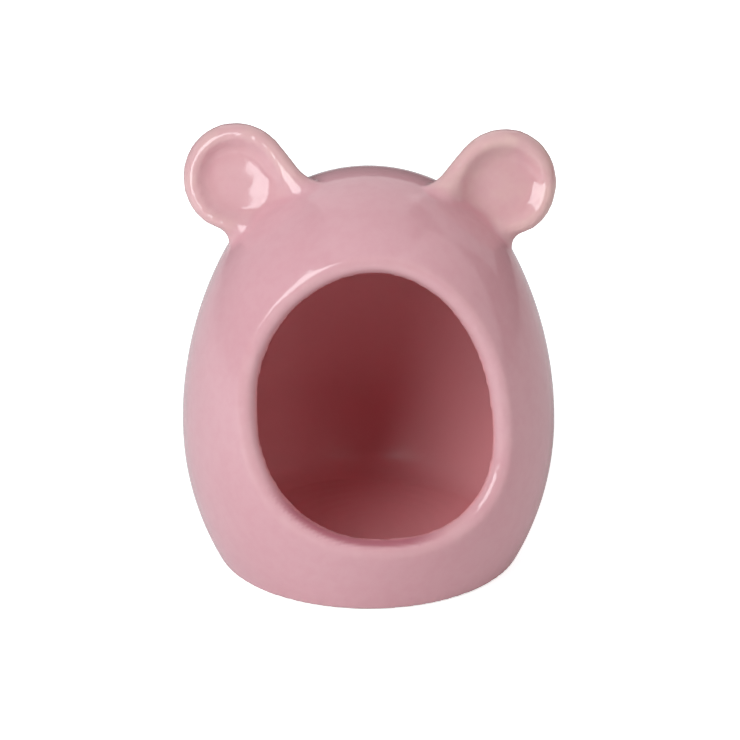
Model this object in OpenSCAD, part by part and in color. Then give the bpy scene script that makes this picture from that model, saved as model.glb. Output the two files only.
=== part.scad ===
// Hamster house, cast in one piece from glazed ceramic.
// A hollow egg-shaped shell with a flat foot, an egg-shaped doorway and two dished ears.
// Millimetres. The origin is the middle of the foot on the table, +Z is up, the doorway faces -Y.

/* [Body] */
// Widest diameter of the body
body_w = 100; // [95:1:106]
// Height of the top of the dome above the table
body_h = 107; // [104:1:112]
// Height of the widest ring of the body
belly_z = 37.2; // [33:0.2:41]
// How far the dome's radius stays under the belly's radius
dome_in = 6; // [5:0.5:8]
// How far the foot stands in from the belly
base_in = 9.5; // [7:0.5:12]
// Radius of the rounded bottom edge
base_round = 2; // [1:0.25:3]

/* [Shell] */
// Thickness of the cast wall
wall = 5.4; // [4:0.2:6]
// Thickness of the floor
floor_t = 4.5; // [3.5:0.25:6]
// Radius between the floor and the wall inside
floor_round = 8; // [5:0.5:11]
// Width of the bare foot ring
foot_w = 6; // [4:0.5:9]
// Depth of the recess inside the foot ring
foot_h = 1.2; // [0.8:0.1:2]
// Radius in the corner of the recess
foot_round = 0.8; // [0.4:0.1:0.8]

/* [Doorway] */
// Width of the doorway on the outside of the shell, before its edge is rounded
door_w = 66.4; // [62:0.1:70]
// Height of the doorway on the outside of the shell
door_h = 71.8; // [66:0.1:74]
// Height of the middle of the doorway
door_z = 57.1; // [56:0.1:59]
// How far the middle of the doorway stands to the right
door_x = 0.4; // [-2:0.1:2]
// How far the bottom of the doorway leans to the right, as it was cut by hand
door_skew = 4.8; // [0:0.1:6]
// How much the doorway narrows towards its top
door_taper = 0.08; // [0:0.01:0.16]
// How much fuller than an ellipse the lower half of the doorway is
door_full = 0.18; // [0:0.01:0.24]
// How far the rounding of the doorway's outer edge reaches over the outside
lip_reach = 4; // [2.5:0.25:4.5]
// How deep the rounding of the doorway's outer edge goes into the wall
lip_deep = 2; // [1.5:0.1:2.6]
// Radius of the doorway's inner edge
lip_in = 1; // [0.6:0.05:1.2]

/* [Ears] */
// Radius of the round top of an ear
ear_r = 14.3; // [13:0.1:15.5]
// Height of the centre of the left ear's round top above the dome
reach_left = 10.5; // [9:0.1:12]
// Height of the centre of the right ear's round top above the dome
reach_right = 9.5; // [9:0.1:12]
// Angle from upright of the centre of the left ear's round top
angle_left = 39; // [37:0.1:42]
// Angle from upright of the centre of the right ear's round top
angle_right = 41.3; // [37:0.1:42]
// Angle by which the left ear is turned outwards
turn_left = 1; // [-4:1:10]
// Angle by which the right ear is turned outwards
turn_right = 8; // [-4:1:10]
// How far an ear's upper side draws in at the neck
draw_upper = 0.1; // [0:0.1:2]
// How far an ear's lower side draws in at the neck
draw_lower = 7.5; // [5.5:0.1:8.5]
// Lean of the ears towards the back
ear_lean = 16; // [0:1:20]
// Place of the ears in front of the axis, at the dome
ear_front = 1; // [-2:0.5:3]
// Thickness of an ear at its rim
ear_t = 7; // [6:0.25:8.5]
// Width of the rounded rim
ear_rim = 5.2; // [4.4:0.1:5.6]
// Width of the slope between the rim and the dish
ear_slope = 5.6; // [4.4:0.1:6]
// Depth of the dish at its edge
ear_dish = 2; // [1.4:0.1:2.4]
// How much deeper the middle of the dish lies than its edge
ear_bowl = 0.5; // [0.2:0.1:1]
// Radius of the fillet between the upper side of an ear and the dome
ear_sweep = 4.5; // [3:0.25:6]
// Radius of the fillet between the lower side and the back of an ear and the dome
ear_fillet = 3; // [2:0.25:3.5]
// Radius of the fillet between the front of an ear and the dome
ear_crease = 1.2; // [0.8:0.1:2]

/* [Hidden] */
glaze = [0.86, 0.66, 0.70];
$fn = 180;
// Segments of a small round corner
corner_fn = 60;
// Overlap that carries a cut past the face that it cuts
past = 1;

// The half profile of the body is three arcs that run into each other: the lower arc from the
// foot to the belly, the side arc from the belly up, and the dome.
body_r = body_w / 2;
lower_r = (belly_z ^ 2 + base_in ^ 2) / (2 * base_in);
dome_r = body_r - dome_in;
dome_z = body_h - dome_r;
rise = dome_z - belly_z;
side_r = (body_r ^ 2 - dome_r ^ 2 + rise ^ 2) / (2 * dome_in);
join_angle = atan2(rise, side_r - body_r);
join_z = belly_z + side_r * sin(join_angle);

// Each arc is [distance of its centre from the axis, height of its centre, radius].
lower_arc = [body_r - lower_r, belly_z, lower_r];
side_arc = [body_r - side_r, belly_z, side_r];
dome_arc = [0, dome_z, dome_r];
floor_z = foot_h + floor_t;

// Distance from the axis of the point where an arc moved inwards by inset reaches the height z
function arc_x(arc, inset, z) = arc[0] + sqrt((arc[2] - inset) ^ 2 - (z - arc[1]) ^ 2);

// The arc that a point of the half profile belongs to
function arc_of(x, z) =
    z < belly_z ? lower_arc
    : atan2(z - side_arc[1], x - side_arc[0]) < join_angle ? side_arc
    : dome_arc;

// Centre of a corner circle of radius r that lies on the level z and touches the lower arc inside
function corner_x(inset, z, r) = arc_x(lower_arc, inset + r, z + r);

// A point moved square to the shell until it lies at a given depth under the outside
function sink(p, depth) =
    let (
        x = norm([p.x, p.y]),
        arc = arc_of(x, p.z),
        d = [x - arc[0], p.z - arc[1]],
        k = (arc[2] - depth) / norm(d)
    )
    [p.x / x * (arc[0] + d[0] * k), p.y / x * (arc[0] + d[0] * k), arc[1] + d[1] * k];

// The point of the outside that is seen at (x, z) from straight in front
function front_point(x, z) =
    let (arc = z < belly_z ? lower_arc : z < join_z ? side_arc : dome_arc)
    [x, -sqrt(arc_x(arc, 0, z) ^ 2 - x ^ 2), z];

function unit(v) = v / norm(v);

// Half profile of the body between its axis and its outside, moved inwards by inset, from the
// level bottom up, with a round corner there
module half_egg(inset, bottom, corner_r) {
    corner = [corner_x(inset, bottom, corner_r), bottom + corner_r];
    out = unit(corner - [lower_arc[0], lower_arc[1]]);
    // Long enough to reach past the corner that is cut off
    reach = 3 * corner_r;
    joint = belly_z + (side_r - inset) * sin(join_angle);
    difference() {
        arc_slice(lower_arc, inset, bottom, belly_z);
        polygon([
            corner,
            corner + out * reach,
            [corner.x + reach, bottom - past],
            [corner.x, bottom - past]
        ]);
    }
    translate(corner) circle(r = corner_r, $fn = corner_fn);
    arc_slice(side_arc, inset, belly_z, joint);
    arc_slice(dome_arc, inset, joint, body_h);
}

// What lies between the axis and one arc, from one height to another
module arc_slice(arc, inset, low, high) {
    intersection() {
        translate([arc[0], arc[1]]) circle(r = arc[2] - inset);
        translate([0, low]) square([body_w, high - low]);
    }
}

// The egg and its chamber
module shell() {
    difference() {
        rotate_extrude() half_egg(0, 0, base_round);
        rotate_extrude() half_egg(wall, floor_z, floor_round);
        foot_recess();
    }
}

// The hollow that leaves a ring to stand on
module foot_recess() {
    r = corner_x(0, 0, base_round) - foot_w;
    rotate_extrude() {
        difference() {
            translate([0, -past]) square([r, foot_h + past]);
            translate([r - foot_round, foot_h - foot_round]) square(2 * foot_round);
        }
        translate([r - foot_round, foot_h - foot_round]) circle(r = foot_round, $fn = corner_fn);
    }
}

// A sine or cosine made larger, so that the outline stands fuller than an ellipse
function fuller(v) = sign(v) * abs(v) ^ (1 - door_full);

// Point of the doorway's outline on the outside of the shell, at angle a from its right side.
// Its lower half is fuller and leans over; up is 1 at its top and -1 at its bottom.
function door_point(a) =
    let (
        across = sin(a) < 0 ? fuller(cos(a)) : cos(a),
        up = sin(a) < 0 ? fuller(sin(a)) : sin(a)
    )
    front_point(
        door_w / 2 * across * (1 - door_taper * up) + door_x + door_skew * up * (up - 1) / 2,
        door_z + door_h / 2 * up
    );

// Section of the doorway's cutter, square to the wall. Each point is [distance away from the
// doorway, depth under the outside]. It widens at both ends and so rounds the edges of the wall:
// an ellipse's quarter at the outside, a circle's at the inside.
// Angle along the outer rounding and along the inner one at which the cutter leaves the wall
flare_out = 24;
flare_in = 20;
// How far the cutter runs on past the wall on both sides
run_on = 2;
lip_steps = 5;
door_steps = 90;
function lip_arc(reach, deep, from, to) = [
    for (i = [0 : lip_steps])
        let (a = from + (to - from) * i / lip_steps)
        [reach * (1 - sin(a)), deep * (1 - cos(a))]
];
lip_front = lip_arc(lip_reach, lip_deep, flare_out, 90);
lip_back = lip_arc(lip_in, lip_in, 90, flare_in);
lip_section = [
    lip_front[0] + run_on * unit([lip_reach * cos(flare_out), -lip_deep * sin(flare_out)]),
    each lip_front,
    for (p = lip_back) [p[0], wall - p[1]],
    [lip_back[lip_steps][0], wall - lip_back[lip_steps][1]] + run_on * [cos(flare_in), sin(flare_in)]
];

// One ring of the cutter, all round the doorway, for one point of the section
function cutter_ring(s) = [
    for (i = [0 : door_steps - 1])
        let (
            a = 360 * i / door_steps,
            p = door_point(a),
            along = unit(door_point(a + 1) - door_point(a - 1)),
            away = unit(cross(along, sink(p, -past) - p))
        )
        sink(p + away * s[0], s[1])
];

// Two triangles for each cell between two neighbouring rings of n points
function ring_faces(row, n) = [
    for (i = [0 : n - 1])
        let (a = row * n + i, b = row * n + (i + 1) % n)
        each [[a, b, a + n], [b, b + n, a + n]]
];

// The plug that opens the doorway
module doorway() {
    rings = len(lip_section);
    n = door_steps;
    tips = [[0, -body_w, door_z], [0, 0, door_z]];
    polyhedron(
        points = [for (s = lip_section) each cutter_ring(s), each tips],
        faces = [
            for (row = [0 : rings - 2]) each ring_faces(row, n),
            for (i = [0 : n - 1])
                each [
                    [(i + 1) % n, i, rings * n],
                    [(rings - 1) * n + i, (rings - 1) * n + (i + 1) % n, rings * n + 1]
                ]
        ]
    );
}

// An ear is worked out in its own frame: u runs across it, v to the back and w away from the
// centre of the dome. Half-sections run from its middle at the front, round its rim and to its
// middle at the back. They stand in a row up one side, fan out round the top and come down the
// other side, so the rim and the dish keep their section all the way round.
neck_steps = 8;
side_steps = 2;
top_steps = 24;
rim_steps = 5;
slope_steps = 5;
bowl_steps = 4;
half_t = ear_t / 2;

// Where a side that draws in at the neck stands at the height h, measured from the widest place
function side_at(draw, reach, h) = -draw * (1 - h / reach) ^ 2;

// Angle at which the side leans out where a fillet of radius r runs into it
function lean(draw, reach, r, angle = 40, turns = 6) =
    turns == 0 ? angle
    : lean(draw, reach, r, atan(2 * draw / reach * (1 - r * (1 + sin(angle)) / reach)), turns - 1);

// How far a fillet of radius r stands out from the side at the height h. It ends short of the
// face that it runs into, at the angle fillet_end or at the height fillet_foot.
fillet_end = 28;
fillet_foot = ear_fillet * (1 - cos(fillet_end));
function flare(r, h, draw, reach) =
    let (
        angle = lean(draw, reach, r),
        touch = r * (1 + sin(angle)),
        centre = side_at(draw, reach, touch) + r * cos(angle),
        level = max(h, min(fillet_foot, r * (1 - cos(fillet_end))))
    )
    h >= touch ? 0
    : centre - sqrt(r ^ 2 - (level - r) ^ 2) - side_at(draw, reach, max(h, 0));

// Heights above the dome at which the sides have a half-section, from inside the wall upwards
function side_levels(reach) =
    let (
        last = 90 + lean(draw_lower, reach, ear_fillet),
        top = ear_fillet * (1 - cos(last))
    )
    [
        -wall / 2,
        for (i = [0 : neck_steps])
            ear_fillet * (1 - cos(fillet_end + (last - fillet_end) * i / neck_steps)),
        for (i = [1 : side_steps])
            top + (reach - top) * i / side_steps
    ];

// Stations of the half-sections as [height above the dome, direction across, direction away]
function ear_stations(reach) =
    let (levels = side_levels(reach))
    [
        for (h = levels) [h, -1, 0],
        for (i = [1 : top_steps - 1])
            let (a = 180 - 180 * i / top_steps)
            [reach, cos(a), sin(a)],
        for (i = [len(levels) - 1 : -1 : 0]) [levels[i], 1, 0]
    ];

// Points of a half-section as [distance from the outline, depth to the back]. In the bowl the
// first number is less than nothing: it runs from 0 at the edge of the bowl to -1 in its middle.
bowl_edge = ear_rim / 2 + ear_slope;
bowl = [
    for (i = [bowl_steps : -1 : 1])
        let (part = i / bowl_steps)
        [-part, -half_t + ear_dish + ear_bowl * (1 - (1 - part) ^ 2)]
];
dish_slope = [
    for (i = [slope_steps : -1 : 1])
        let (a = 180 * i / slope_steps)
        [ear_rim / 2 + ear_slope * i / slope_steps, -half_t + ear_dish * (1 - cos(a)) / 2]
];
rim_front = [
    for (i = [rim_steps : -1 : 1])
        let (a = 90 * i / rim_steps)
        [ear_rim / 2 * (1 - cos(a)), -half_t * sin(a)]
];
rim_back = [
    for (i = [0 : rim_steps])
        let (a = 90 * i / rim_steps)
        [half_t * (1 - cos(a)), half_t * sin(a)]
];
// The middle of the bowl and the middle of the back close each half-section
ear_section = [
    each bowl,
    each dish_slope,
    each rim_front,
    each rim_back,
    [-1, half_t]
];

// Where the point p of the half-section at the station k comes to lie in the ear's own frame
function ear_point(k, p, reach, side) =
    let (
        h = k[0],
        draw = k[1] * side > 0 ? draw_lower : draw_upper,
        fillet = k[1] * side > 0 ? ear_fillet : ear_sweep,
        shift = side_at((draw_lower - draw_upper) / 2, reach, max(h, 0)),
        inward = max(0, -p[0]),
        apart = p[0] < 0 ? bowl_edge : p[0],
        edge = max(0, 1 - apart / (ear_rim / 2)),
        narrow = side_at(draw, reach, max(h, 0)),
        half_w = ear_r + narrow - apart + edge * flare(fillet, h, draw, reach),
        swell = p[1] < 0 ? -flare(ear_crease, h, 0, reach) : flare(ear_fillet, h, 0, reach),
        u = k[1] * half_w * (1 - inward) + side * shift * inward,
        v = p[1] + (1 - edge) * swell,
        level = dome_r + h,
        drop = level - sqrt(level ^ 2 - u ^ 2 - v ^ 2),
        w = level - drop * min(1, max(0, 1 - h / reach)) + k[2] * half_w * (1 - inward)
    )
    [u, v - ear_front + (w - dome_r) * tan(ear_lean), w];

// Triangles across a half-section of n points that begins at the point first
function zigzag(i, n) = i % 2 == 0 ? i / 2 : n - (i + 1) / 2;
function end_faces(first, n) = [
    for (i = [0 : n - 3])
        let (a = first + zigzag(i, n), b = first + zigzag(i + 1, n), c = first + zigzag(i + 2, n))
        i % 2 == 0 ? [a, b, c] : [a, c, b]
];

// Side is -1 for the left ear and 1 for the right one
module ear(angle, turn, reach, side) {
    stations = ear_stations(reach);
    last = len(stations) - 1;
    n = len(ear_section);
    translate([0, 0, dome_z]) rotate([0, side * angle, 0]) rotate([0, 0, side * turn])
        polyhedron(
            points = [for (k = stations) for (p = ear_section) ear_point(k, p, reach, side)],
            faces = [
                for (k = [0 : last - 1])
                    for (i = [0 : n - 2])
                        let (a = k * n + i)
                        each [[a, a + 1, a + n], [a + 1, a + n + 1, a + n]],
                each end_faces(0, n),
                for (f = end_faces(last * n, n)) [f[0], f[2], f[1]]
            ]
        );
}

module house() {
    color(glaze) {
        difference() {
            shell();
            doorway();
        }
        ear(angle_left, turn_left, reach_left, -1);
        ear(angle_right, turn_right, reach_right, 1);
    }
}

house();
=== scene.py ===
import bpy, bmesh, math
import numpy as np
from mathutils import Matrix, Vector


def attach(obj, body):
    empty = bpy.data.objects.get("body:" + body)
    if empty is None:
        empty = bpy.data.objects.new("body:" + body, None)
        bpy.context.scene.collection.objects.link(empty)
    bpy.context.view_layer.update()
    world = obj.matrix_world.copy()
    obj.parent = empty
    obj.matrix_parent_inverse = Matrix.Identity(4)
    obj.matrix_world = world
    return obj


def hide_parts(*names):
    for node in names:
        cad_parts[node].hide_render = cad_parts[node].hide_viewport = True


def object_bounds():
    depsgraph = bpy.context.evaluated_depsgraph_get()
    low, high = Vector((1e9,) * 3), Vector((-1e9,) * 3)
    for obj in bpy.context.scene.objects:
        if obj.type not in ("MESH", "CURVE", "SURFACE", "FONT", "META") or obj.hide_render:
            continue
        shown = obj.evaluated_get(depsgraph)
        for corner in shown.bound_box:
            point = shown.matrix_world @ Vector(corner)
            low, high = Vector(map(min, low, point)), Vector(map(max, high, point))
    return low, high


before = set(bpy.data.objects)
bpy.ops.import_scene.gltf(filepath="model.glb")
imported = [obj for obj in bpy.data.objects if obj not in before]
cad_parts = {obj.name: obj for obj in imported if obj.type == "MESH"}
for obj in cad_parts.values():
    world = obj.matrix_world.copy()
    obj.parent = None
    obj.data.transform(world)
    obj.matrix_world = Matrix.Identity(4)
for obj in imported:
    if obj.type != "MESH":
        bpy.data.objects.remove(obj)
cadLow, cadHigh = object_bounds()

scene = bpy.context.scene
scene.view_settings.view_transform = "Standard"
scene.view_settings.look = "None"

# camera, where the photograph was taken from
cameraView = {
    "distance": 0.9,
    "azimuth": -1.6,             # degrees round from straight in front
    "elevation": 21.7,           # degrees above the horizon
    "aim": (0, 0, 0.057),
    "picture": 740,              # width and height of the photograph in pixels
    "focalPixels": 3368.7,       # focal length in the same pixels
    "aimPixel": (368.5, 351.4),  # where the aim lies in the photograph
    "sensor": 36,
    "clip": (0.01, 20),
}


def direction(azimuth, elevation):
    # from the house outwards, in degrees from straight in front
    side, up = math.radians(azimuth), math.radians(elevation)
    return Vector((math.sin(side) * math.cos(up), -math.cos(side) * math.cos(up), math.sin(up)))


def makeCamera(view):
    back = direction(view["azimuth"], view["elevation"])
    data = bpy.data.cameras.new("camera")
    camera = bpy.data.objects.new("camera", data)
    scene.collection.objects.link(camera)
    camera.location = Vector(view["aim"]) + back * view["distance"]
    camera.rotation_euler = (-back).to_track_quat("-Z", "Y").to_euler()
    picture, (aimX, aimY) = view["picture"], view["aimPixel"]
    data.sensor_width = view["sensor"]
    data.lens = view["focalPixels"] / picture * view["sensor"]
    data.shift_x = (picture / 2 - aimX) / picture
    data.shift_y = -(picture / 2 - aimY) / picture
    data.clip_start, data.clip_end = view["clip"]
    scene.camera = camera


makeCamera(cameraView)
print("camera placed")


# small helpers for shader nodes
def addNode(tree, kind, props=None, values=None):
    node = tree.nodes.new(kind)
    for name, value in (props or {}).items():
        setattr(node, name, value)
    for name, value in (values or {}).items():
        node.inputs[name].default_value = value
    return node


def newGroup(name, takes, gives):
    group = bpy.data.node_groups.new(name, "ShaderNodeTree")
    for label, kind, value in takes:
        socket = group.interface.new_socket(label, in_out="INPUT", socket_type=kind)
        socket.default_value = value
    for label, kind in gives:
        group.interface.new_socket(label, in_out="OUTPUT", socket_type=kind)
    return group, group.nodes.new("NodeGroupInput"), group.nodes.new("NodeGroupOutput")


def feed(tree, socket, source):
    # links another socket to this one, or gives it a plain value
    if isinstance(source, bpy.types.NodeSocket):
        tree.links.new(source, socket)
    else:
        socket.default_value = source


def mixColors(tree, factor, first, second):
    # inputs 6 and 7 and output 2 are the colours of this node
    node = addNode(tree, "ShaderNodeMix", {"data_type": "RGBA"})
    feed(tree, node.inputs["Factor"], factor)
    feed(tree, node.inputs[6], first)
    feed(tree, node.inputs[7], second)
    return node.outputs[2]


def blend(tree, operation, first, second):
    node = addNode(tree, "ShaderNodeMath", {"operation": operation})
    feed(tree, node.inputs[0], first)
    feed(tree, node.inputs[1], second)
    return node.outputs[0]


def remap(tree, value, low, high, toLow=0.0, toHigh=1.0):
    node = addNode(tree, "ShaderNodeMapRange", {"interpolation_type": "SMOOTHSTEP"},
                   {"From Min": low, "From Max": high, "To Min": toLow, "To Max": toHigh})
    tree.links.new(value, node.inputs["Value"])
    return node.outputs["Result"]


def noise(tree, place, scale, detail, rough=0.5):
    node = addNode(tree, "ShaderNodeTexNoise", None,
                   {"Scale": scale, "Detail": detail, "Roughness": rough})
    tree.links.new(place, node.inputs["Vector"])
    return node.outputs["Fac"]


def pattern(tree, place, scale, detail, rough, low, high, toLow, toHigh):
    return remap(tree, noise(tree, place, scale, detail, rough), low, high, toLow, toHigh)


glaze = {
    "pink": (0.69, 0.375, 0.415, 1),    # where the glaze lies even
    "deep": (0.62, 0.27, 0.31, 1),      # where it has run thick
    "cream": (0.77, 0.52, 0.475, 1),    # where it breaks thin over an edge
    "inner": (0.785, 0.34, 0.36, 1),    # inside: a redder tone, painted light for what bounces round the red chamber
    "innerBounceShare": 0.85,                  # how much of that tone lies over the pink
    "cut": (0.46, 0.16, 0.20, 1),       # painted shade on the sill of the doorway, darkest at its left
    "clay": (0.74, 0.66, 0.58, 1),      # the bare foot ring
    "roughness": 0.10,
    "innerRoughness": 0.30,
    "clayRoughness": 0.85,
    "refraction": 1.5,
    # patterns of the tone: scale per metre, detail, roughness, the stretch of the noise that
    # counts, and what it is spread over
    "clouds": (26, 3, 0.5, 0.35, 0.68, 0.0, 0.2),
    "mottle": (330, 3, 0.6, 0.35, 0.7, 0.0, 0.15),
    "uneven": (120, 3, 0.5, 0.3, 0.65, 0.45, 1.0),
    # height of the surface: scale per metre and detail of each, and its share
    "peel": (620, 2), "peelHeight": 0.12,    # the fine orange-peel skin
    "wave": (75, 1), "waveHeight": 0.35,     # the slow waviness of a poured glaze
    "bumpStrength": 0.35,
    "bumpDistance": 0.0006,
}


def makeGlazeTone():
    # colour of the glaze from how thick it lies, with clouds and fine mottling
    group, take, give = newGroup("glazeTone", [
        ("Pink", "NodeSocketColor", glaze["pink"]),
        ("Deep", "NodeSocketColor", glaze["deep"]),
        ("Cream", "NodeSocketColor", glaze["cream"]),
        ("Thin", "NodeSocketFloat", 0.0),
        ("Pool", "NodeSocketFloat", 0.0),
    ], [("Color", "NodeSocketColor")])
    pink, deep, cream = (take.outputs[name] for name in ("Pink", "Deep", "Cream"))
    place = addNode(group, "ShaderNodeTexCoord").outputs["Object"]
    clouds = pattern(group, place, *glaze["clouds"])
    mottle = pattern(group, place, *glaze["mottle"])
    uneven = pattern(group, place, *glaze["uneven"])
    base = mixColors(group, blend(group, "ADD", clouds, mottle), pink, deep)
    pooled = mixColors(group, take.outputs["Pool"], base, deep)
    thin = blend(group, "MULTIPLY", take.outputs["Thin"], uneven)
    group.links.new(mixColors(group, thin, pooled, cream), give.inputs["Color"])
    return group


def makeGlazeSkin():
    # height of the glaze's surface: orange peel on a slow waviness
    group, take, give = newGroup("glazeSkin", [
        ("Peel", "NodeSocketFloat", glaze["peelHeight"]),
        ("Wave", "NodeSocketFloat", glaze["waveHeight"]),
    ], [("Height", "NodeSocketFloat")])
    place = addNode(group, "ShaderNodeTexCoord").outputs["Object"]
    peel = blend(group, "MULTIPLY", noise(group, place, *glaze["peel"]), take.outputs["Peel"])
    wave = blend(group, "MULTIPLY", noise(group, place, *glaze["wave"]), take.outputs["Wave"])
    group.links.new(blend(group, "ADD", peel, wave), give.inputs["Height"])
    return group


def makeGlaze():
    material = bpy.data.materials.new("pinkGlaze")
    material.use_nodes = True
    tree = material.node_tree
    tree.nodes.clear()
    shader = addNode(tree, "ShaderNodeBsdfPrincipled", None, {"IOR": glaze["refraction"]})
    out = addNode(tree, "ShaderNodeOutputMaterial")
    tree.links.new(shader.outputs[0], out.inputs["Surface"])
    masks = {}
    for name in ("thin", "pool", "inner", "cut", "bare"):
        masks[name] = addNode(tree, "ShaderNodeAttribute", {"attribute_name": name}).outputs["Fac"]

    tone = addNode(tree, "ShaderNodeGroup", {"node_tree": makeGlazeTone()})
    for socket, name in (("Pink", "pink"), ("Deep", "deep"), ("Cream", "cream")):
        tone.inputs[socket].default_value = glaze[name]
    tree.links.new(masks["thin"], tone.inputs["Thin"])
    tree.links.new(masks["pool"], tone.inputs["Pool"])
    # painted shade: the sill of the doorway darkened
    sillShaded = mixColors(tree, masks["cut"], tone.outputs["Color"], glaze["cut"])
    # painted bounce light: the redder inner tone laid over the inside
    inside = blend(tree, "MULTIPLY", masks["inner"], glaze["innerBounceShare"])
    bounceTinted = mixColors(tree, inside, sillShaded, glaze["inner"])
    wiped = mixColors(tree, masks["bare"], bounceTinted, glaze["clay"])
    tree.links.new(wiped, shader.inputs["Base Color"])

    gloss = remap(tree, masks["inner"], 0.0, 1.0, glaze["roughness"], glaze["innerRoughness"])
    dry = blend(tree, "MULTIPLY", masks["bare"], glaze["clayRoughness"])
    tree.links.new(blend(tree, "MAXIMUM", gloss, dry), shader.inputs["Roughness"])

    skin = addNode(tree, "ShaderNodeGroup", {"node_tree": makeGlazeSkin()})
    bump = addNode(tree, "ShaderNodeBump", None,
                   {"Strength": glaze["bumpStrength"], "Distance": glaze["bumpDistance"]})
    tree.links.new(skin.outputs["Height"], bump.inputs["Height"])
    tree.links.new(bump.outputs["Normal"], shader.inputs["Normal"])
    return material


pinkGlaze = makeGlaze()
print("glaze mixed")

# the house: the cast body, its edges softened as a glaze rounds them, lengths in metres
houseForm = {
    "weld": 1e-6,                      # points of the cast nearer than this are one
    "grid": 0.00096,                   # size of the mesh's cells
    "bareBelow": 0.0004,               # the foot stays as cast and is wiped clean up to here
    # each turn of softening wears the form and then swells it back, so that none is lost
    "wear": 0.5, "swellBack": -0.51,
    "softenTurns": 8,
    "shellTurns": 12,                  # as many more for the shell, which has no sharp forms
    "shellProud": 0.0004,              # what stands out further than this isn't shell
    "creaseFrom": 0.00014,             # the glaze fills creases that are deeper than this
    "creaseTurns": 5,
    "reliefTurns": 30,                 # how far the glaze feels for an edge or a hollow
    # outside of the egg: the height that each arc ends at, its centre and its radius
    "shellArcs": ((0.0372, -0.02759, 0.0372, 0.07759),
                  (0.0824, -0.05247, 0.0372, 0.10247),
                  (1.0, 0.0, 0.063, 0.044)),
    "shellSlack": (0.00012, 0.0004),   # up to these distances a point is laid on its arc
    "shellSkin": 0.00002,              # and this far under it
    # the ears: degrees from upright, degrees bent back, degrees turned by hand, and how far
    # above the dome the middle of the dish lies
    "ears": {"left": (-39, 8.6, 1.2, 0.0105), "right": (41.3, 10.2, -6.6, 0.0095)},
    "domeMiddle": (0, 0, 0.063),
    "domeRadius": 0.044,
    "earSpread": 28,                   # degrees that an ear takes up on the dome, either way
    "bendFrom": 0.0003, "bendTo": 0.007,       # heights over the dome between which it bends
    "dishRims": (0.0086, 0.0114),      # the slope of the dish runs between these radii
    "dishPress": 0.0011,               # how much deeper it is pressed than it was cast
    "dishFlat": 0.22,                  # and how much more of that at its edge than in its middle
    "dishClear": 0.0005,               # the press keeps this far from the dome
    "dishFacing": -0.5,                # and takes what faces the front more than this
    # the floor inside, told by its height and by how much it faces up
    "floorTop": 0.012,
    "levelFacing": 0.98, "levelFade": (0.97, 0.997),
    "ringFacing": 0.5, "ringStep": 0.0042, "ringHeight": 0.00003,    # the throwing rings
    # where the glaze breaks thin: relief, how much of the cream on body and ears, what the
    # left and the right ear have all over (partly real cream; the larger share on the right ear is
    # painted light, lifting the ear that the key lights less), and how far off the egg an ear
    # begins
    "thinFrom": 0.00018, "thinTo": 0.0006,
    "thinBody": 0.12, "thinEars": 0.3,
    "earsCreamAndLift": (0.18, 0.44),
    "earsFrom": 0.0, "earsTo": 0.002,
    # where it pools: relief below the rest, and how much of the deep tone
    "poolFrom": 0.00010, "poolTo": 0.0006, "poolMost": 0.4,
    # depths at which it turns to the inner tone and at which the painted shade of the sill begins,
    # and how far to the right and up that painted shade goes
    # the inner tone is painted light, for what bounces round the chamber
    "innerFrom": 0.0034, "innerTo": 0.0047,
    "cutFrom": 0.0009, "cutTo": 0.0018,
    "sillAcross": (0.008, 0.022), "sillHeight": (0.028, 0.040),
}


def positions(bm):
    return np.array([v.co for v in bm.verts])


def step(value, low, high):
    # 0 below low, 1 above high, with a soft passage
    t = np.clip((value - low) / (high - low), 0, 1)
    return t * t * (3 - 2 * t)


def fade(value, low, high):
    # 1 below low, 0 above high
    return step(-value, -high, -low)


def smooth(bm, verts, factor):
    bmesh.ops.smooth_vert(bm, verts=verts, factor=factor,
                          use_axis_x=True, use_axis_y=True, use_axis_z=True)


def soften(bm, verts, turns, form):
    for turn in range(turns):
        smooth(bm, verts, form["wear"])
        smooth(bm, verts, form["swellBack"])


def reliefOf(bm, form):
    # how far each point stands out from the same form worn down: edges above 0, creases below
    bm.normal_update()
    worn = bm.copy()
    for turn in range(form["reliefTurns"]):
        smooth(worn, worn.verts, form["wear"])
    normals = np.array([v.normal for v in bm.verts])
    relief = ((positions(bm) - positions(worn)) * normals).sum(1)
    worn.free()
    return relief


def shellDepth(place, form):
    # depth of each point under the outside of the egg
    across, height = np.hypot(place[:, 0], place[:, 1]), place[:, 2]
    depth = np.zeros(len(place))
    low = -math.inf
    for top, middleX, middleZ, radius in form["shellArcs"]:
        here = (height >= low) & (height < top)
        depth[here] = radius - np.hypot(across[here] - middleX, height[here] - middleZ)
        low = top
    return depth


def trueShell(bm, form):
    # lays the outside of the egg on its true arcs, where it is plain egg, and keeps the front
    # inside the CAD model's box
    depth = shellDepth(positions(bm), form)
    share = 1 - step(np.abs(depth), *form["shellSlack"])
    low = -math.inf
    for top, middleX, middleZ, radius in form["shellArcs"]:
        for v, deep, part in zip(bm.verts, depth, share):
            if part > 0 and low <= v.co.z < top and v.co.z > form["bareBelow"]:
                across = math.hypot(v.co.x, v.co.y)
                out = Vector((v.co.x / across, v.co.y / across, 0)) * (across - middleX)
                out.z = v.co.z - middleZ
                v.co += out.normalized() * (deep - form["shellSkin"]) * part
                v.co.y = max(v.co.y, cadLow[1] + form["shellSkin"])
        low = top


def turnRings(bm, form):
    # levels the floor inside and gives it the shallow rings that the wheel left
    bm.normal_update()
    floor = [v for v in bm.verts if v.co.z < form["floorTop"]]
    level = np.median([v.co.z for v in floor if v.normal.z > form["levelFacing"]])
    for v in floor:
        if v.normal.z > form["ringFacing"]:
            v.co.z += (level - v.co.z) * step(v.normal.z, *form["levelFade"])
            ring = math.cos(2 * math.pi * math.hypot(v.co.x, v.co.y) / form["ringStep"])
            v.co.z += form["ringHeight"] * ring * v.normal.z


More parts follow.
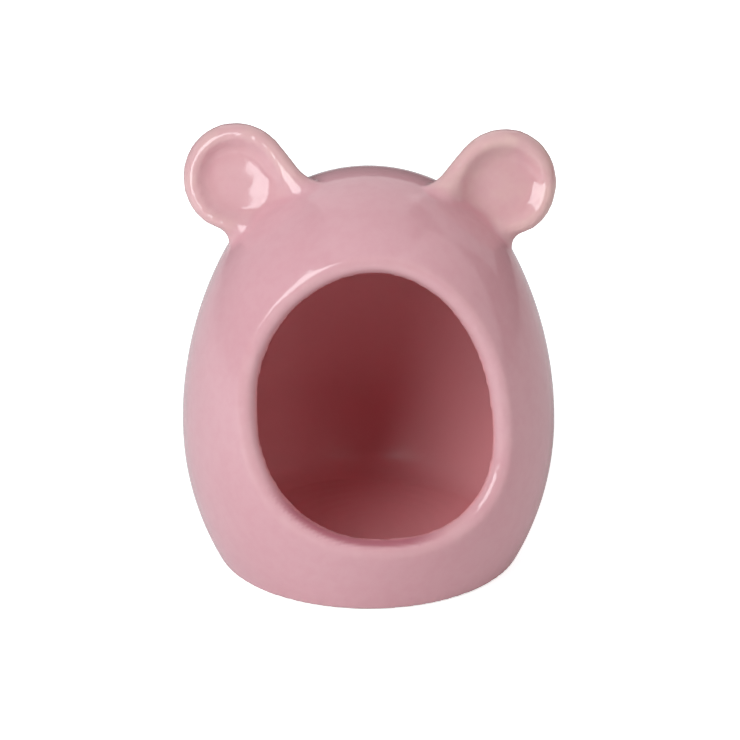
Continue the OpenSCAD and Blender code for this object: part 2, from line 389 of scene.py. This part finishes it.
def pressDish(bm, form, middle, dish):
    # presses the dish of an ear deeper, with a steeper slope
    inner, outer = form["dishRims"]
    clear = form["domeRadius"] + form["dishClear"]
    bm.normal_update()
    for v in bm.verts:
        apart = Vector((v.co.x - dish.x, 0, v.co.z - dish.z)).length
        if v.normal.y < form["dishFacing"] and apart < outer and (v.co - middle).length > clear:
            deep = 1 + form["dishFlat"] * min(1, apart / inner) ** 2
            v.co.y += form["dishPress"] * deep * (1 - step(apart, inner, outer))


def bendEar(bm, form, angle, back, turn, reach):
    # presses the dish and bends the ear at its root, as a potter does in soft clay
    middle = Vector(form["domeMiddle"])
    away = Vector((math.sin(math.radians(angle)), 0, math.cos(math.radians(angle))))
    root = middle + away * form["domeRadius"]
    pressDish(bm, form, middle, root + away * reach)
    for v in bm.verts:
        offset = v.co - middle
        if offset.angle(away) > math.radians(form["earSpread"]):
            continue
        share = step(offset.length - form["domeRadius"], form["bendFrom"], form["bendTo"])
        if share > 0:
            bend = (Matrix.Rotation(math.radians(turn) * share, 3, "Z")
                    @ Matrix.Rotation(-math.radians(back) * share, 3, "X"))
            v.co = root + bend @ (v.co - root)


def evenMesh(form):
    # the CAD body of the house on an even grid
    bm = bmesh.new()
    bm.from_mesh(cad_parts["house"].data)
    bmesh.ops.remove_doubles(bm, verts=bm.verts, dist=form["weld"])
    mesh = bpy.data.meshes.new("houseCast")
    bm.to_mesh(mesh)
    bm.free()
    cast = bpy.data.objects.new("houseCast", mesh)
    scene.collection.objects.link(cast)
    grid = cast.modifiers.new("grid", "REMESH")
    grid.mode, grid.voxel_size = "VOXEL", form["grid"]
    ready = cast.evaluated_get(bpy.context.evaluated_depsgraph_get())
    fine = bpy.data.meshes.new_from_object(ready)
    bpy.data.objects.remove(cast)
    return fine


def shapeHouse(bm, form):
    # bends the ears, softens the form as a glaze does, and turns the floor
    for ear in form["ears"].values():
        bendEar(bm, form, *ear)
    soft = [v for v in bm.verts if v.co.z > form["bareBelow"]]
    soften(bm, soft, form["softenTurns"], form)
    shell = [v for v, deep in zip(bm.verts, shellDepth(positions(bm), form))
             if deep > -form["shellProud"] and v.co.z > form["bareBelow"]]
    soften(bm, shell, form["shellTurns"], form)
    trueShell(bm, form)
    creases = [v for v, height in zip(bm.verts, reliefOf(bm, form))
               if height < -form["creaseFrom"]]
    for turn in range(form["creaseTurns"]):
        smooth(bm, creases, form["wear"])
    smooth(bm, soft, form["wear"])
    turnRings(bm, form)


def glazeMasks(place, relief, form):
    # for each point, how much it is thin, pooled, inside, in the painted shade of the sill or bare
    # foot
    across, height = place[:, 0], place[:, 2]
    depth = shellDepth(place, form)
    ear = step(-depth, form["earsFrom"], form["earsTo"])
    edge = step(relief, form["thinFrom"], form["thinTo"])
    return {
        # cream over a whole ear is partly real and partly painted light, more of it on the right
        # ear
        "thin": (form["thinBody"] * (1 - ear) + form["thinEars"] * ear) * edge
        + np.where(across < 0, *form["earsCreamAndLift"]) * ear,
        "pool": form["poolMost"] * step(-relief, form["poolFrom"], form["poolTo"]),
        "inner": step(depth, form["innerFrom"], form["innerTo"]),
        # painted shade on the sill, fading out to the right and upwards
        "cut": step(depth, form["cutFrom"], form["cutTo"])
        * fade(across, *form["sillAcross"]) * fade(height, *form["sillHeight"]),
        "bare": fade(height, form["bareBelow"] / 2, form["bareBelow"]),
    }


def makeHouse(form):
    fine = evenMesh(form)
    bm = bmesh.new()
    bm.from_mesh(fine)
    shapeHouse(bm, form)
    relief = reliefOf(bm, form)
    masks = glazeMasks(positions(bm), relief, form)
    bm.to_mesh(fine)
    bm.free()
    for name, values in masks.items():
        mask = fine.attributes.new(name, "FLOAT", "POINT")
        mask.data.foreach_set("value", values.astype(np.float32))
    fine.polygons.foreach_set("use_smooth", np.ones(len(fine.polygons), bool))
    fine.materials.clear()
    fine.materials.append(pinkGlaze)
    house = bpy.data.objects.new("glazedHouse", fine)
    scene.collection.objects.link(house)
    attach(house, "root")
    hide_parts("house")
    print("house:", len(fine.vertices), "points, relief", relief.min(), relief.max())


makeHouse(houseForm)

# studio: a pale floor, white to the camera, and soft boxes that all face the house
studio = {
    "floorColor": (0.86, 0.86, 0.86, 1),
    "floorRoughness": 0.9,
    "floorSize": 6.0,
    "floorGlow": 0.72,              # lifts the floor towards white, for the camera alone
    "seen": 1.0,                    # what shows past the floor
    "room": 0.012,                  # what the room in front sends back
    "backdrop": 0.12,               # what the white wall behind sends back
    "backdropSides": (0.0, 0.4),    # where it begins, by how far back a direction points
    "backdropTop": (0.85, 0.7),     # and where it ends, by how far up that points
    "middle": (0, 0, 0.055),
    "away": 1.6,                    # distance of every box from the middle
    # azimuth and elevation in degrees from straight in front, width and height, power, colour
    "boxes": {
        "key": (-44.5, 30, 1.0, 1.25, 24.5, (0.93, 1.0, 1.02)),
        "fill": (62, 30, 2.4, 2.4, 14.5, (1.0, 0.94, 0.93)),
        "back": (180, 45, 1.2, 1.2, 3.6, (1, 1, 1)),
        "backLeft": (-135, 30, 1.0, 1.0, 0.5, (1, 1, 1)),
        "backRight": (135, 30, 1.0, 1.0, 1.8, (1, 1, 1)),
        "top": (0, 90, 1.4, 1.4, 2.8, (1, 1, 1)),
    },
}


def makeFloor(plan):
    bm = bmesh.new()
    bmesh.ops.create_grid(bm, x_segments=1, y_segments=1, size=plan["floorSize"] / 2)
    mesh = bpy.data.meshes.new("floor")
    bm.to_mesh(mesh)
    bm.free()
    floor = bpy.data.objects.new("floor", mesh)
    scene.collection.objects.link(floor)
    paper = bpy.data.materials.new("paleFloor")
    paper.use_nodes = True
    tree = paper.node_tree
    shader = tree.nodes["Principled BSDF"]
    shader.inputs["Base Color"].default_value = plan["floorColor"]
    shader.inputs["Roughness"].default_value = plan["floorRoughness"]
    shader.inputs["Emission Strength"].default_value = plan["floorGlow"]
    seen = addNode(tree, "ShaderNodeLightPath").outputs["Is Camera Ray"]
    glow = mixColors(tree, seen, (0, 0, 0, 1), (1, 1, 1, 1))
    tree.links.new(glow, shader.inputs["Emission Color"])
    mesh.materials.append(paper)


def makeSoftBox(name, plan, azimuth, elevation, width, height, power, color):
    away = direction(azimuth, elevation)
    lamp = bpy.data.lights.new(name, "AREA")
    lamp.shape, lamp.energy, lamp.color = "RECTANGLE", power, color
    lamp.size, lamp.size_y = width, height
    box = bpy.data.objects.new(name, lamp)
    scene.collection.objects.link(box)
    box.location = Vector(plan["middle"]) + away * plan["away"]
    box.rotation_euler = (-away).to_track_quat("-Z", "Y").to_euler()


def makeRoom(plan):
    # white to the camera; the glaze mirrors a dim room with a pale wall behind the house
    world = bpy.data.worlds.new("room")
    scene.world = world
    world.use_nodes = True
    tree = world.node_tree
    tree.nodes.clear()
    split = addNode(tree, "ShaderNodeSeparateXYZ")
    tree.links.new(addNode(tree, "ShaderNodeTexCoord").outputs["Generated"], split.inputs[0])
    wall = blend(tree, "MULTIPLY", remap(tree, split.outputs["Y"], *plan["backdropSides"]),
                 remap(tree, split.outputs["Z"], *plan["backdropTop"]))
    level = remap(tree, wall, 0, 1, plan["room"], plan["backdrop"])
    seen = addNode(tree, "ShaderNodeLightPath").outputs["Is Camera Ray"]
    strength = blend(tree, "MAXIMUM", level, blend(tree, "MULTIPLY", seen, plan["seen"]))
    glow = addNode(tree, "ShaderNodeBackground", None, {"Color": (1, 1, 1, 1)})
    tree.links.new(strength, glow.inputs["Strength"])
    tree.links.new(glow.outputs[0], addNode(tree, "ShaderNodeOutputWorld").inputs["Surface"])


makeFloor(studio)
for boxName, box in studio["boxes"].items():
    makeSoftBox(boxName, studio, *box)
makeRoom(studio)
print("studio lit")
